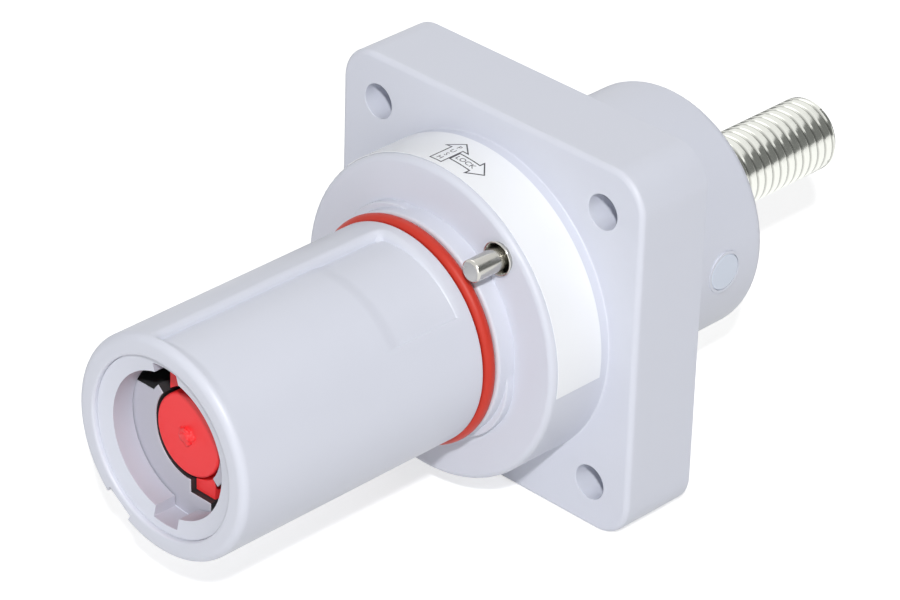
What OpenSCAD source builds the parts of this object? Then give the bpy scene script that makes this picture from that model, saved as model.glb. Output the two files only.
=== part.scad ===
// High current panel connector: a moulded flange housing with a long mating sleeve, a turned socket
// contact with a rear terminal stud, a red finger guard in the mouth and a sprung lock pin.
// Millimetres. The origin is the centre of the flange's rear face on the contact axis, +Z is up and
// the mating end looks along -Y. Each piece is drawn in an axial frame, where z runs from the panel
// face towards the mating end and y is up, and axial() turns that frame into the part's own.

/* [Flange] */
// Width and height of the square flange
flange_w = 60; // [58:0.5:80]
// Thickness of the flange
flange_t = 13.5; // [11:0.5:20]
// Corner radius of the flange outline
flange_corner_r = 6; // [4:0.5:8]
// Rounding of the flange's front edge
flange_edge_r = 0.9; // [0.4:0.1:1.5]
// Distance between neighbouring screw holes
hole_spacing = 45; // [44:0.5:48]
// Diameter of the screw holes
hole_d = 5.5; // [4:0.1:6.5]

/* [Collar and neck] */
// Diameter of the collar in front of the flange
collar_d = 50; // [49:0.5:53]
// Height of the collar above the flange
collar_h = 11.7; // [9:0.1:16]
// Rounding of the collar's front edge
collar_edge_r = 1; // [0.4:0.1:1.5]
// Diameter of the neck between the collar and the seal
neck_d = 35.2; // [34.4:0.1:36]
// Height of the neck above the collar
neck_h = 3.2; // [2.4:0.1:5]
// Rounding of the neck's front edge
neck_edge_r = 0.5; // [0.2:0.1:0.8]
// Height of the two low lobes beside the neck
lobe_h = 1.4; // [0.8:0.1:2]
// Distance that a lobe stands out from the neck
lobe_reach = 1; // [0.6:0.1:1.5]
// Radius of the lobes' outline
lobe_r = 13; // [12:0.5:15]

/* [Mating sleeve] */
// Outer diameter of the sleeve
sleeve_d = 34; // [33:0.2:34.6]
// Length of the sleeve in front of the neck
sleeve_len = 48.6; // [44:0.2:60]
// Rounding of the sleeve's front edge
rim_edge_r = 1.3; // [0.5:0.1:1.6]
// Width of the coded recess across the sleeve
recess_w = 18; // [12:0.5:19]
// Depth of the recess at its stepped side
recess_depth = 1.2; // [0.8:0.1:1.5]
// Height at which the recess floor would run out above the sleeve, so that its other side fades away
recess_runout = 0.06; // [0.02:0.01:0.12]
// Depth of the recess's rear part at its fading side
recess_fade = 0.2; // [0.1:0.05:0.5]
// Length of the deeper rear part of the recess
recess_rear_len = 12.8; // [8:0.2:20]
// Distance from the neck to the rear wall of the recess
recess_start = 4.6; // [4:0.1:10]
// Corner radius at the rear of the recess
recess_corner_r = 0.9; // [0.5:0.1:3]
// Width of the keyway on the far side of the sleeve
keyway_w = 5.2; // [4:0.1:8]
// Depth of the keyway
keyway_depth = 2; // [0.6:0.1:2.2]

/* [Front seal] */
// Thickness of the seal ring's round section
seal_section = 2; // [1.6:0.1:2.4]
// Outer diameter of the seal ring
seal_d = 35.5; // [35.4:0.1:36.6]
// Width of the seal groove
groove_w = 2.5; // [2.45:0.05:3.2]

/* [Mouth] */
// Diameter of the counterbore that holds the bayonet ring
mouth_d = 27.5; // [26.5:0.1:28]
// Distance from the sleeve's front to the bayonet ring
mouth_depth = 0.8; // [0.5:0.1:2]
// Thickness of the bayonet ring at its outside
ring_t = 4.2; // [3:0.1:5]
// Distance that the ring's face falls towards its bore
ring_dish = 0.6; // [0.2:0.1:1]
// Inner diameter of the bayonet ring
ring_bore_d = 22.2; // [21.6:0.1:23]
// Width of the ring's two entry notches
notch_w = 4.8; // [3:0.1:6]
// Wall that the notches leave in the ring
notch_wall = 1; // [0.4:0.05:1.2]
// Depth of the channel behind the ring
channel_depth = 0.2; // [0.2:0.1:3]
// Thickness of the floor between the mouth and the contact
floor_t = 5.8; // [4.5:0.1:8]
// Distance that the floor's hole is stretched towards each guard ear
hole_stretch = 0.45; // [0.2:0.05:1.4]
// Diameter of the land beside the hole
land_d = 16.4; // [15.6:0.1:17]
// Outer diameter of the floor's two turning pockets
pocket_d = 24; // [22:0.1:25]
// Distance from the contact axis to the straight edge of a turning pocket
pocket_level = 4.3; // [3.6:0.1:5]

/* [Finger guard] */
// Diameter of the guard's core
guard_d = 12.7; // [11.5:0.1:13.2]
// Distance from the floor's front to the guard's face
guard_inset = 0.1; // [0.1:0.1:1]
// Rounding of the guard's front edge
guard_edge_r = 0.4; // [0.2:0.1:0.6]
// Width of the moulding pip in the middle of the guard
pip_d = 2.6; // [1:0.1:3]
// Height of the moulding pip
pip_h = 0.8; // [0.2:0.1:1]
// Distance from the middle plane to the near side of a guard ear
ear_side = 0.7; // [0.4:0.1:1.2]
// Width of a guard ear
ear_w = 3.9; // [3:0.1:4.5]
// Distance from the contact axis to the end of a guard ear
ear_reach = 8.8; // [7.8:0.1:9.8]
// Distance from the floor's front to the ears
ear_depth = 1; // [0.5:0.1:2]
// Width of the slit between the guard's core and the front of an ear
ear_slit_w = 0.6; // [0.3:0.1:1]
// Depth of that slit
ear_slit_depth = 2; // [1:0.1:3]
// Gap around the guard and its ears in the floor
guard_gap = 0.2; // [0.1:0.05:0.4]
// Diameter of the spigot that holds the guard in the contact
spigot_d = 6; // [4:0.1:8]
// Length of the spigot
spigot_len = 6; // [4:0.5:10]

/* [Hub] */
// Diameter of the hub behind the flange
hub_d = 39.3; // [36:0.1:42]
// Length of the hub behind the flange
hub_len = 26.1; // [24:0.1:32]
// Rounding of the hub's rear edge
hub_edge_r = 1.5; // [0.5:0.1:2.5]
// Distance from the panel face to the side plug's centre
plug_back = 17.4; // [15:0.1:18.5]
// Angle of the side plug, from the right side upwards
plug_angle = -1.5; // [-10:0.5:10]
// Diameter of the side plug
plug_d = 5.8; // [5.6:0.1:7]
// Length of the side plug
plug_len = 3.2; // [2:0.1:3.6]
// Width of the raised rim around the side plug
plug_rim_w = 0.5; // [0.3:0.1:1.2]
// Height of the plug's rim above the hub
plug_rim_h = 0.1; // [0.1:0.05:0.5]

/* [Contact] */
// Diameter of the contact's body
body_d = 23; // [21:0.1:24]
// Diameter of the contact's shoulder in the hub
shoulder_d = 26.8; // [26:0.1:28]
// Distance from the panel face to the shoulder's front
shoulder_back = 5; // [4:0.1:7]
// Distance that the shoulder sits inside the hub's rear face
shoulder_inset = 0.6; // [0.2:0.1:1.5]
// Distance from the floor's rear face to the contact's front
contact_gap = 7; // [3:0.5:12]
// Inner diameter of the socket
socket_d = 16; // [15.6:0.1:16.6]
// Depth of the socket
socket_depth = 31; // [26:0.5:40]
// Thread diameter of the terminal stud
stud_d = 12; // [8:1:14]
// Length of the terminal stud behind the hub
stud_len = 33.5; // [24:0.5:50]
// Chamfer at the stud's end
stud_chamfer = 1.1; // [0.6:0.1:1.5]
// Thickness of the contact seal's round section
contact_seal_section = 2; // [1.6:0.1:2.2]
// Distance from the shoulder's front to the contact seal
contact_seal_back = 4; // [3:0.1:5]
// Depth of the groove for the contact band
band_groove = 0.9; // [0.7:0.05:1.2]
// Length of the contact band
band_len = 12; // [8:0.5:16]
// Sheet thickness of the contact band
band_t = 0.25; // [0.2:0.05:0.4]
// Number of louvre slots in the contact band
band_slots = 24; // [12:1:30]
// Diameter of the grub screw's thread
grub_d = 5; // [4:0.5:5]
// Depth of the grub screw's seat in the shoulder
grub_seat = 2; // [1.5:0.1:2.5]

/* [Lock pin] */
// Distance from the contact axis to the lock pin
pin_radius = 21.5; // [21:0.1:21.8]
// Angle of the lock pin, from the right side upwards
pin_angle = 49; // [40:1:60]
// Diameter of the lock pin
pin_d = 3.5; // [2.6:0.1:3.6]
// Distance that the pin stands out of the collar
pin_rise = 6.1; // [4:0.1:8]
// Chamfer at the pin's tip
pin_chamfer = 0.3; // [0.1:0.05:0.5]
// Diameter of the pin's head
pin_head_d = 4.4; // [4.1:0.05:4.4]
// Thickness of the pin's head
pin_head_t = 1.6; // [1:0.1:2.5]
// Wall of the bush around the pin
bush_wall = 0.5; // [0.4:0.05:0.6]
// Length of the bush inside the collar
bush_len = 7; // [5:0.1:9]
// Width of the bush's rolled rim
bush_rim_w = 0.85; // [0.6:0.05:1]
// Height of the bush's rolled rim
bush_rim_h = 0.8; // [0.5:0.05:1.2]
// Length of the spring at rest
spring_len = 11; // [9:0.1:11]
// Wire diameter of the spring
spring_wire = 0.5; // [0.3:0.05:0.6]
// Number of turns of the spring
spring_turns = 7; // [5:1:8]

/* [Label] */
// Thickness of the label film
label_t = 0.12; // [0.08:0.02:0.2]
// Distance from the flange to the label
label_back = 1.7; // [0.8:0.1:2.5]
// Distance from the label to the collar's rounded edge
label_front = 0.1; // [0.1:0.1:1]
// Angle of the label's lower end, from the right side upwards
label_from = -6.5; // [-20:0.5:20]
// Angle that the label covers
label_span = 142; // [90:1:160]

/* [Fits] */
// Radial play between pieces that are pressed or seated
seat_play = 0.05; // [0.02:0.01:0.1]
// Radial play of the sliding pin
slide_play = 0.05; // [0.03:0.01:0.1]
// Axial play between pieces that meet end to end
end_play = 0.1; // [0.05:0.05:0.2]

/* [Hidden] */
$fn = 96;

// Spare length of a cut beyond the surface that it opens
over = 1;
// Angles of the neck's lobes, the coded recess and the keyway, from the right side upwards
lobe_angles = [129, -34];
recess_angle = 66.3;
keyway_angle = 236;
// Direction in which the floor's hole is stretched, and the angle at which the land beside it ends
hole_angle = 95;
land_angle = 138;
// Turns of the two guard ears with their slots and pockets
ear_turns = [0, 180];

// Levels along the contact axis, from the panel face towards the mating end
collar_front = flange_t + collar_h;
neck_front = collar_front + neck_h;
groove_front = neck_front + groove_w;
sleeve_front = neck_front + sleeve_len;
ring_front = sleeve_front - mouth_depth;
ring_back = ring_front - ring_t;
floor_front = ring_back - channel_depth;
floor_back = floor_front - floor_t;
recess_back = neck_front + recess_start;
contact_front = floor_back - contact_gap;
socket_floor = contact_front - socket_depth;
shoulder_front = -shoulder_back;
shoulder_rear = -hub_len + shoulder_inset;
stud_end = -hub_len - stud_len;
guard_front = floor_front - guard_inset;
guard_rear = socket_floor + end_play;
ear_front = floor_front - ear_depth;
contact_seal_z = shoulder_front - contact_seal_back;
band_mid = (contact_front + socket_floor) / 2;

// Radii that follow from the driving sizes
sleeve_r = sleeve_d / 2;
seal_mid_r = (seal_d - seal_section) / 2;
groove_r = seal_mid_r - seal_section / 2 - seat_play;
ring_r = mouth_d / 2 - seat_play;
channel_r = ring_r - notch_wall;
body_bore_r = body_d / 2 + seat_play;
hub_bore_r = shoulder_d / 2 + seat_play;
contact_seal_mid_r = hub_bore_r - contact_seal_section / 2;
contact_groove_r = contact_seal_mid_r - contact_seal_section / 2 - seat_play;
band_groove_r = socket_d / 2 + band_groove;
plug_face_r = hub_d / 2 + plug_rim_h;
plug_rear_r = plug_face_r - plug_len;
grub_tip_r = shoulder_d / 2 - grub_seat;
grub_head_r = plug_rear_r - end_play;

// The recess floor is a cylinder whose centre lies off the sleeve's axis, towards the fading side
recess_span = 2 * asin(recess_w / sleeve_d);
recess_shift = (recess_depth + recess_runout) / (1 - cos(recess_span));
recess_front_r = sleeve_r + recess_runout - recess_shift;
recess_rear_r = sleeve_r - recess_fade - recess_shift;

// Levels of the lock pin's stack: blind hole, spring, head, bush and tip
bush_r = pin_d / 2 + slide_play + bush_wall;
pin_hole_r = bush_r + seat_play;
bush_back = collar_front - bush_len;
head_front = bush_back - end_play;
head_back = head_front - pin_head_t;
spring_back = head_back - end_play - spring_len;
pin_hole_back = spring_back - end_play;
pin_tip = collar_front + pin_rise;

module axial() {
    rotate([90, 0, 0]) children();
}

// Half section of a disc with one rounded outer edge at its front
module rounded_section(r, back, front, edge) {
    translate([0, back]) square([r, front - back - edge]);
    translate([0, back]) square([r - edge, front - back]);
    translate([r - edge, front - edge]) circle(edge, $fn = 48);
}

module rounded_disc(r, back, front, edge) {
    rotate_extrude() rounded_section(r, back, front, edge);
}

module disc(r, back, front) {
    translate([0, 0, back]) cylinder(h = front - back, r = r);
}

module at_lock_pin() {
    rotate([0, 0, pin_angle]) translate([pin_radius, 0, 0]) children();
}

// Square plate with rounded corners and a rounded front edge: a core, four sides and four corners
module flange_plate() {
    inner = flange_w - 2 * flange_corner_r;
    translate([-inner / 2, -inner / 2, 0]) cube([inner, inner, flange_t]);
    for (turn = [0:90:270]) {
        rotate([0, 0, turn]) {
            translate([inner / 2, inner / 2, 0])
                rotate([90, 0, 0])
                    linear_extrude(inner)
                        rounded_section(flange_corner_r, 0, flange_t, flange_edge_r);
            translate([inner / 2, inner / 2, 0])
                rotate_extrude(angle = 90)
                    rounded_section(flange_corner_r, 0, flange_t, flange_edge_r);
        }
    }
}

// Places a radial piece of the hub's side plug, with z pointing outwards
module at_plug() {
    rotate([0, 0, plug_angle]) translate([0, 0, -plug_back]) rotate([0, 90, 0]) children();
}

module neck_lobes() {
    for (angle = lobe_angles)
        rotate([0, 0, angle])
            translate([neck_d / 2 + lobe_reach - lobe_r, 0, 0])
                disc(lobe_r, collar_front - over, collar_front + lobe_h);
}

// Cutter for the coded recess: a long window that fades away at one side, and its deeper rear part
module recess_cut() {
    recess_pocket(sleeve_front + over - recess_back, recess_front_r);
    recess_pocket(recess_rear_len, recess_rear_r);
}

// Window with rounded rear corners, less the off-centre cylinder of its floor
module recess_pocket(length, floor_r) {
    floor_angle = recess_angle - recess_span / 2;
    difference() {
        rotate([0, 0, recess_angle - 90])
            translate([0, sleeve_r + over, 0])
                rotate([90, 0, 0])
                    linear_extrude(sleeve_r)
                        recess_window(length);
        rotate([0, 0, floor_angle])
            translate([recess_shift, 0, 0])
                disc(floor_r, recess_back - over, recess_back + length + over);
    }
}

module recess_window(length) {
    side = recess_w / 2 - recess_corner_r;
    translate([-side, recess_back]) square([2 * side, length]);
    translate([-recess_w / 2, recess_back + recess_corner_r])
        square([recess_w, length - recess_corner_r]);
    for (x = [-side, side])
        translate([x, recess_back + recess_corner_r]) circle(recess_corner_r);
}

module keyway_cut() {
    rotate([0, 0, keyway_angle])
        translate([sleeve_r - keyway_depth, -keyway_w / 2, recess_back])
            cube([keyway_depth + over, keyway_w, sleeve_front + over - recess_back]);
}

// Sector from the axis out to a radius, from a start angle over a span below 180 degrees
module sector(r, start, span) {
    far = 2 * r;
    intersection() {
        circle(r);
        polygon([[0, 0],
                 far * [cos(start), sin(start)],
                 far * [cos(start + span / 2), sin(start + span / 2)],
                 far * [cos(start + span), sin(start + span)]]);
    }
}

// Outline of one guard ear, or of its slot with a gap all round
module ear_outline(gap) {
    translate([-ear_side - ear_w - gap, 0]) square([ear_w + 2 * gap, ear_reach + gap]);
}

module guard_ears() {
    for (turn = ear_turns) rotate(turn) ear_outline(0);
}

// Pocket beside an ear, where a mating lug turns, less the land that is left beside the hole
module turning_pocket() {
    pocket_r = pocket_d / 2;
    difference() {
        intersection() {
            circle(pocket_r);
            translate([-pocket_r, pocket_level]) square([pocket_r - ear_side - ear_w, pocket_r]);
        }
        sector(land_d / 2, land_angle, 180 - land_angle);
    }
}

// Hole that fits the guard, stretched a little towards both ears
module guard_hole() {
    hole_r = guard_d / 2 + guard_gap;
    rotate(hole_angle) {
        for (side = [-1, 1]) translate([side * hole_stretch, 0]) circle(hole_r);
        translate([-hole_stretch, -hole_r]) square([2 * hole_stretch, 2 * hole_r]);
    }
}

module floor_cut() {
    translate([0, 0, floor_back - over])
        linear_extrude(floor_t + 2 * over) {
            guard_hole();
            for (turn = ear_turns) rotate(turn) {
                ear_outline(guard_gap);
                turning_pocket();
            }
        }
}

module housing_outside() {
    flange_plate();
    rounded_disc(collar_d / 2, 0, collar_front, collar_edge_r);
    rounded_disc(neck_d / 2, 0, neck_front, neck_edge_r);
    neck_lobes();
    disc(groove_r, 0, groove_front + over);
    difference() {
        rounded_disc(sleeve_r, groove_front, sleeve_front, rim_edge_r);
        recess_cut();
        keyway_cut();
    }
    mirror([0, 0, 1]) rounded_disc(hub_d / 2, 0, hub_len, hub_edge_r);
    at_plug() cylinder(h = plug_face_r, r = plug_d / 2 + plug_rim_w);
}

module housing() {
    half = hole_spacing / 2;
    color("gainsboro") axial() difference() {
        housing_outside();
        disc(hub_bore_r, -hub_len - over, shoulder_front + end_play);
        disc(body_bore_r, shoulder_front, floor_back);
        floor_cut();
        disc(channel_r, floor_front, ring_back + over);
        disc(mouth_d / 2, ring_back, sleeve_front + over);
        for (x = [-half, half])
            for (y = [-half, half])
                translate([x, y, 0]) disc(hole_d / 2, -over, flange_t + over);
        at_lock_pin() disc(pin_hole_r, pin_hole_back, collar_front + over);
        at_plug() {
            translate([0, 0, plug_rear_r - end_play])
                cylinder(h = plug_len + end_play + over, r = plug_d / 2 + seat_play);
            cylinder(h = hub_d / 2, r = grub_d / 2 + seat_play);
        }
    }
}

// Ring with a slightly dished face and two notches
module bayonet_ring() {
    bore_r = ring_bore_d / 2;
    color("lavender") axial() difference() {
        rotate_extrude()
            polygon([[bore_r, ring_back],
                     [ring_r, ring_back],
                     [ring_r, ring_front],
                     [bore_r, ring_front - ring_dish]]);
        translate([-notch_w / 2, -channel_r, ring_back - over])
            intersection() {
                cube([notch_w, 2 * channel_r, ring_t + 2 * over]);
                translate([notch_w / 2, channel_r, 0]) cylinder(h = ring_t + 2 * over, r = channel_r);
            }
    }
}

module guard_tip() {
    color("crimson") axial() {
        rounded_disc(guard_d / 2, guard_rear, guard_front, guard_edge_r);
        translate([0, 0, guard_front]) cylinder(h = pip_h, d1 = pip_d, d2 = pip_d / 2);
        disc(spigot_d / 2, guard_rear - spigot_len, guard_rear + over);
        translate([0, 0, floor_back]) {
            linear_extrude(ear_front - ear_slit_depth - floor_back) guard_ears();
            linear_extrude(ear_front - floor_back) difference() {
                guard_ears();
                circle(guard_d / 2 + ear_slit_w);
            }
        }
    }
}

module contact() {
    stud_r = stud_d / 2;
    color("silver") axial() difference() {
        union() {
            disc(body_d / 2, shoulder_front - over, contact_front);
            disc(shoulder_d / 2, shoulder_rear, shoulder_front);
            disc(stud_r, stud_end + stud_chamfer, shoulder_rear + over);
            translate([0, 0, stud_end]) cylinder(h = stud_chamfer, r1 = stud_r - stud_chamfer, r2 = stud_r);
        }
        disc(socket_d / 2, socket_floor, contact_front + over);
        disc(band_groove_r, band_mid - band_len / 2 - end_play, band_mid + band_len / 2 + end_play);
        disc(spigot_d / 2 + seat_play, socket_floor - spigot_len, socket_floor + over);
        difference() {
            disc(hub_bore_r + over, contact_seal_z - contact_seal_section / 2 - end_play,
                 contact_seal_z + contact_seal_section / 2 + end_play);
            disc(contact_groove_r, contact_seal_z - contact_seal_section, contact_seal_z + contact_seal_section);
        }
        at_plug()
            translate([0, 0, grub_tip_r - end_play])
                cylinder(h = grub_seat + end_play + over, r = grub_d / 2 + seat_play);
    }
}

// Louvred spring band: a rolled strip with a row of slots, seated in the socket's groove
module contact_band() {
    outer_r = band_groove_r - seat_play;
    slot_len = band_len * 0.7;
    slot_w = PI * outer_r / band_slots;
    color("goldenrod") axial() difference() {
        disc(outer_r, band_mid - band_len / 2, band_mid + band_len / 2);
        disc(outer_r - band_t, band_mid - band_len / 2 - over, band_mid + band_len / 2 + over);
        for (i = [0:band_slots - 1])
            rotate([0, 0, i * 360 / band_slots])
                translate([outer_r - band_t - over, -slot_w / 2, band_mid - slot_len / 2])
                    cube([band_t + 2 * over, slot_w, slot_len]);
    }
}

module ring_seal(mid_r, section, level) {
    translate([0, 0, level])
        rotate_extrude()
            translate([mid_r, 0]) circle(section / 2, $fn = 48);
}

module contact_seal() {
    color("dimgray") axial() ring_seal(contact_seal_mid_r - seat_play, contact_seal_section, contact_seal_z);
}

module front_seal() {
    color("orangered") axial() ring_seal(seal_mid_r, seal_section, neck_front + groove_w / 2);
}

// Hexagon socket grub screw that keys the contact's shoulder to the hub
module grub_screw() {
    length = grub_head_r - grub_tip_r;
    point = grub_d / 6;
    color("dimgray") axial() at_plug() translate([0, 0, grub_tip_r]) difference() {
        union() {
            translate([0, 0, point]) cylinder(h = length - point, d = grub_d);
            cylinder(h = point, d1 = grub_d - 2 * point, d2 = grub_d);
        }
        translate([0, 0, length - grub_d / 2]) cylinder(h = grub_d / 2 + over, d = grub_d / 2, $fn = 6);
    }
}

module hub_plug() {
    color("aliceblue") axial() at_plug() translate([0, 0, plug_rear_r]) cylinder(h = plug_len, d = plug_d);
}

module lock_pin() {
    color("silver") axial() at_lock_pin() {
        disc(pin_d / 2, head_front - pin_head_t / 2, pin_tip - pin_chamfer);
        translate([0, 0, pin_tip - pin_chamfer])
            cylinder(h = pin_chamfer, r1 = pin_d / 2, r2 = pin_d / 2 - pin_chamfer);
        disc(pin_head_d / 2, head_back, head_front);
    }
}

// Pressed eyelet bush with a rolled rim on the collar's face
module lock_bush() {
    rim_r = bush_r + bush_rim_w - bush_wall;
    bore_r = pin_d / 2 + slide_play;
    color("silver") axial() at_lock_pin() difference() {
        union() {
            disc(bush_r, bush_back, collar_front);
            rounded_disc(rim_r, collar_front, collar_front + bush_rim_h, bush_rim_h / 2);
        }
        disc(bore_r, bush_back - over, collar_front + bush_rim_h + over);
        translate([0, 0, collar_front + bush_rim_h / 2])
            cylinder(h = bush_rim_h, r1 = bore_r, r2 = bore_r + bush_rim_h);
    }
}

// Points of a round wire swept along a helix: one ring of points for each step of the helix
function helix_ring(angle, coil_r, rise, wire_r, sides) =
    [for (k = [0:sides - 1])
        let (u = k * 360 / sides, r = coil_r + wire_r * cos(u))
        [r * cos(angle), r * sin(angle), rise + wire_r * sin(u)]];

module helix_wire(coil_r, length, turns, wire_r, steps_per_turn, sides) {
    steps = turns * steps_per_turn;
    pitch_rise = (length - 2 * wire_r) / steps;
    points = [for (i = [0:steps])
                 each helix_ring(i * 360 / steps_per_turn, coil_r, wire_r + i * pitch_rise, wire_r, sides)];
    walls = [for (i = [0:steps - 1], k = [0:sides - 1])
                let (a = i * sides + k, b = i * sides + (k + 1) % sides)
                [a, a + sides, b + sides, b]];
    first = [for (k = [0:sides - 1]) k];
    last = [for (k = [sides - 1:-1:0]) steps * sides + k];
    polyhedron(points, concat([first], walls, [last]), convexity = 10);
}

module lock_spring() {
    coil_r = pin_head_d / 2 - spring_wire / 2;
    color("lightsteelblue") axial() at_lock_pin() translate([0, 0, spring_back])
        helix_wire(coil_r, spring_len, spring_turns, spring_wire / 2, 20, 8);
}

module label_strip() {
    inner_r = collar_d / 2 + seat_play / 2;
    back = flange_t + label_back;
    front = collar_front - collar_edge_r - label_front;
    color("white") axial() rotate([0, 0, label_from])
        rotate_extrude(angle = label_span)
            translate([inner_r, back]) square([label_t, front - back]);
}

housing();
bayonet_ring();
guard_tip();
contact();
contact_band();
contact_seal();
grub_screw();
hub_plug();
front_seal();
lock_pin();
lock_spring();
lock_bush();
label_strip();
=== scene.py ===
# %% [markdown]
# # Dressing a high current panel connector
#
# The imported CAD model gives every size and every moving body. This lesson puts a camera, a small studio,
# finishes and fine shapes around it. It runs from top to bottom in Blender 4.5, in metres, with the contact
# axis along Y, the mating end towards -Y and +Z up.

# %% Load the frame
from math import atan2, cos, degrees, hypot, pi, radians, sin

import bmesh
import bpy
from mathutils import Matrix, Vector, noise


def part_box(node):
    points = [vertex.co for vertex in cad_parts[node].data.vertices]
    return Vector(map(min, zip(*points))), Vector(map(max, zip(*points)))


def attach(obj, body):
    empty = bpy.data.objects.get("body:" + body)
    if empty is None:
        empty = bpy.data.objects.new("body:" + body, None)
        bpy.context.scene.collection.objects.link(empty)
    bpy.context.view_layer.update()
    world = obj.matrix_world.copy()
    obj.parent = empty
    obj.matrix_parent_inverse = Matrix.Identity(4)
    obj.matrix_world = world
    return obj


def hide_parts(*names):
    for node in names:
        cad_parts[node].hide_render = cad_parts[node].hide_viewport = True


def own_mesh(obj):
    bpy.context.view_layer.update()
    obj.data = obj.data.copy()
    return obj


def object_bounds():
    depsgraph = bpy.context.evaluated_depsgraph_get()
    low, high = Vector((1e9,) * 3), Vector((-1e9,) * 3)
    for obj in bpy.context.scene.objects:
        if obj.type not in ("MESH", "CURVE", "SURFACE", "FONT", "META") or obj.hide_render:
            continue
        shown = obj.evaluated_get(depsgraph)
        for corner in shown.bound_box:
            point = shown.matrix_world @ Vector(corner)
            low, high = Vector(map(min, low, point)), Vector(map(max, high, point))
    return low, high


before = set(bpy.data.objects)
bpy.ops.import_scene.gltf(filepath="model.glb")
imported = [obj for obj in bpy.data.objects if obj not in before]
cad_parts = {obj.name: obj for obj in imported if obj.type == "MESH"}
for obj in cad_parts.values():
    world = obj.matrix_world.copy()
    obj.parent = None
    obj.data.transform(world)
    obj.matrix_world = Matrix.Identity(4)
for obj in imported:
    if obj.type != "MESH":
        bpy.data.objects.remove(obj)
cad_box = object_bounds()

MM = 0.001
scene = bpy.context.scene
print("CAD box in mm:", [[round(v / MM, 2) for v in corner] for corner in cad_box])

# %% [markdown]
# ## The camera
#
# The camera stands in front, to the right and above. A camera can be placed by eye, but this one was fitted
# first: the screw holes, the flange's edges and the round outlines give its direction, its roll and its
# distance. A long lens keeps the sleeve's sides nearly parallel. The image is 900 by 600 pixels.

# %% Place the camera
IMAGE_W = 900
SENSOR_MM = 36.0
FOCAL_PX = 4409.0
AZIMUTH, ELEVATION, ROLL = radians(43.911), radians(30.405), radians(1.737)
DISTANCE, SIDE_SHIFT, UP_SHIFT = 651.79 * MM, 14.39 * MM, 5.93 * MM


def camera_axes():
    """Right, up and back directions of the fitted camera."""
    back = Vector((sin(AZIMUTH) * cos(ELEVATION), -cos(AZIMUTH) * cos(ELEVATION), sin(ELEVATION)))
    right = (-back).cross(Vector((0, 0, 1))).normalized()
    up = right.cross(-back)
    rolled_right = cos(ROLL) * right + sin(ROLL) * up
    rolled_up = -sin(ROLL) * right + cos(ROLL) * up
    return rolled_right, rolled_up, back


def place_camera():
    right, up, back = camera_axes()
    data = bpy.data.cameras.new("photo_camera")
    data.sensor_width = SENSOR_MM
    data.lens = FOCAL_PX * SENSOR_MM / IMAGE_W
    data.clip_start, data.clip_end = 0.01, 20
    camera = bpy.data.objects.new("photo_camera", data)
    turn = Matrix((right, up, back)).transposed().to_4x4()
    camera.matrix_world = Matrix.Translation(back * DISTANCE - right * SIDE_SHIFT - up * UP_SHIFT) @ turn
    scene.collection.objects.link(camera)
    scene.camera = camera
    return camera


camera = place_camera()
print("Camera at", [round(v, 4) for v in camera.matrix_world.translation], "lens", round(camera.data.lens, 1))

# %% [markdown]
# ## The studio
#
# The photograph's own shadows tell where its light stood: the straight edge of the collar's shadow on the flange
# and the dark crescents in the screw holes both point to one lamp close to the camera, a little above it. So one
# key lamp stands there, small enough to keep those shadows. Three large softboxes and the world fill in. A white
# floor lies under the flange's lower side, where the part rests, and keeps its shadow. Metal only looks like
# metal when it has something dark to reflect, so there are two dark screens: a tall one far behind on the right
# and a low one close behind the stud. Reflections alone see them.

# %% Light the room
WHITE = (1, 1, 1, 1)
WORLD_LIGHT, WORLD_TINT = 0.24, (0.97, 0.98, 1.0, 1)


def seen_directly(tree):
    """Socket that is 1 for camera, glossy and transmission rays, and 0 for the rays that light the object."""
    path = tree.nodes.new("ShaderNodeLightPath")
    total = path.outputs["Is Camera Ray"]
    for name in ("Is Glossy Ray", "Is Transmission Ray"):
        step = tree.nodes.new("ShaderNodeMath")
        step.operation = "MAXIMUM"
        tree.links.new(total, step.inputs[0])
        tree.links.new(path.outputs[name], step.inputs[1])
        total = step.outputs[0]
    return total


def make_world():
    world = bpy.data.worlds.new("studio_air")
    world.use_nodes = True
    tree = world.node_tree
    tree.nodes.clear()
    lights = tree.nodes.new("ShaderNodeBackground")
    lights.inputs["Color"].default_value = WORLD_TINT
    lights.inputs["Strength"].default_value = WORLD_LIGHT
    shows = tree.nodes.new("ShaderNodeBackground")
    shows.inputs["Color"].default_value = WHITE
    shows.inputs["Strength"].default_value = 1.0
    mix = tree.nodes.new("ShaderNodeMixShader")
    out = tree.nodes.new("ShaderNodeOutputWorld")
    tree.links.new(seen_directly(tree), mix.inputs["Fac"])
    tree.links.new(lights.outputs[0], mix.inputs[1])
    tree.links.new(shows.outputs[0], mix.inputs[2])
    tree.links.new(mix.outputs[0], out.inputs["Surface"])
    scene.world = world
    return world


world = make_world()
print(world.name, "lights the object with strength", WORLD_LIGHT)

# %% Lay the floor and hang the screens
FLOOR_TONE, FLOOR_GLOW, FLOOR_HALF = 0.68, 0.62, 4
FLOOR_Z = cad_box[0][2] - 0.05 * MM
# Each screen: distance, first angle and sweep in degrees, and the heights of its foot and head
SCREENS = {"right_screen": (1.6, -30, 130, 0.06, 1.38), "left_screen": (0.085, 85, 85, FLOOR_Z, 0.006)}
SCREEN_TONE = (0.20, 0.205, 0.20, 1)


def stage_object(name, bm, material):
    mesh = bpy.data.meshes.new(name)
    bm.to_mesh(mesh)
    bm.free()
    mesh.materials.append(material)
    staged = bpy.data.objects.new(name, mesh)
    scene.collection.objects.link(staged)
    return staged


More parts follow.
